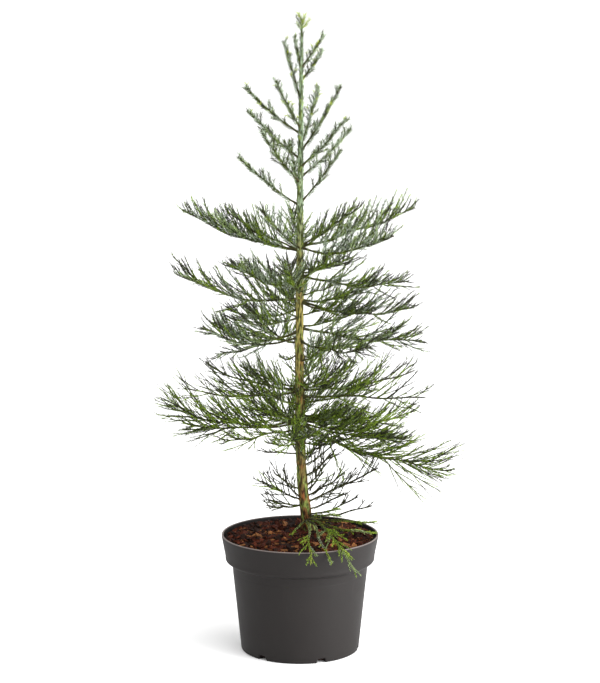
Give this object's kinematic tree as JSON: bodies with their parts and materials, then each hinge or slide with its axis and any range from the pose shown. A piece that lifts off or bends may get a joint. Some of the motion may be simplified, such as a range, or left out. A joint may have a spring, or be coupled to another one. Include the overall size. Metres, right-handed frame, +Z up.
{
  "type": "potted young giant sequoia",
  "caption": "Young giant sequoia with tiers of feathery needled boughs round one upright trunk, growing in a round tapered plastic nursery pot.",
  "frame": {"origin": "middle of the pot's flat underside, where it stands", "axes": "+Z up along the trunk, +X to the right and +Y away from the front"},
  "size_m": [0.3654, 0.2782, 0.7646],
  "materials": {
    "black_plastic": "satin",
    "bark_compost": "rough",
    "young_bark": "rough",
    "needle_foliage": "matte"
  },
  "bodies": {
    "root": {"bough_bottom_1": "young_bark", "bough_bottom_3": "young_bark", "bough_lower_2": "young_bark", "bough_lower_9": "young_bark", "bough_middle_2": "young_bark", "bough_middle_7": "young_bark", "bough_upper_2": "young_bark", "compost": "bark_compost", "foliage_bottom_1": "needle_foliage", "foliage_bottom_2": "needle_foliage", "foliage_bottom_3": "needle_foliage", "foliage_bottom_4": "needle_foliage", "foliage_bottom_5": "needle_foliage", "foliage_bottom_6": "needle_foliage", "foliage_foot_1": "needle_foliage", "foliage_foot_2": "needle_foliage", "foliage_foot_3": "needle_foliage", "foliage_foot_4": "needle_foliage", "foliage_leader": "needle_foliage", "foliage_lower_1": "needle_foliage", "foliage_lower_10": "needle_foliage", "foliage_lower_2": "needle_foliage", "foliage_lower_3": "needle_foliage", "foliage_lower_4": "needle_foliage", "foliage_lower_5": "needle_foliage", "foliage_lower_6": "needle_foliage", "foliage_lower_7": "needle_foliage", "foliage_lower_8": "needle_foliage", "foliage_lower_9": "needle_foliage", "foliage_middle_1": "needle_foliage", "foliage_middle_10": "needle_foliage", "foliage_middle_2": "needle_foliage", "foliage_middle_3": "needle_foliage", "foliage_middle_4": "needle_foliage", "foliage_middle_5": "needle_foliage", "foliage_middle_6": "needle_foliage", "foliage_middle_7": "needle_foliage", "foliage_middle_8": "needle_foliage", "foliage_middle_9": "needle_foliage", "foliage_top_1": "needle_foliage", "foliage_top_10": "needle_foliage", "foliage_top_11": "needle_foliage", "foliage_top_12": "needle_foliage", "foliage_top_13": "needle_foliage", "foliage_top_2": "needle_foliage", "foliage_top_3": "needle_foliage", "foliage_top_4": "needle_foliage", "foliage_top_5": "needle_foliage", "foliage_top_6": "needle_foliage", "foliage_top_7": "needle_foliage", "foliage_top_8": "needle_foliage", "foliage_top_9": "needle_foliage", "foliage_upper_1": "needle_foliage", "foliage_upper_2": "needle_foliage", "foliage_upper_3": "needle_foliage", "foliage_upper_4": "needle_foliage", "foliage_upper_5": "needle_foliage", "pot": "black_plastic", "trunk": "young_bark"}
  },
  "joints": []
}
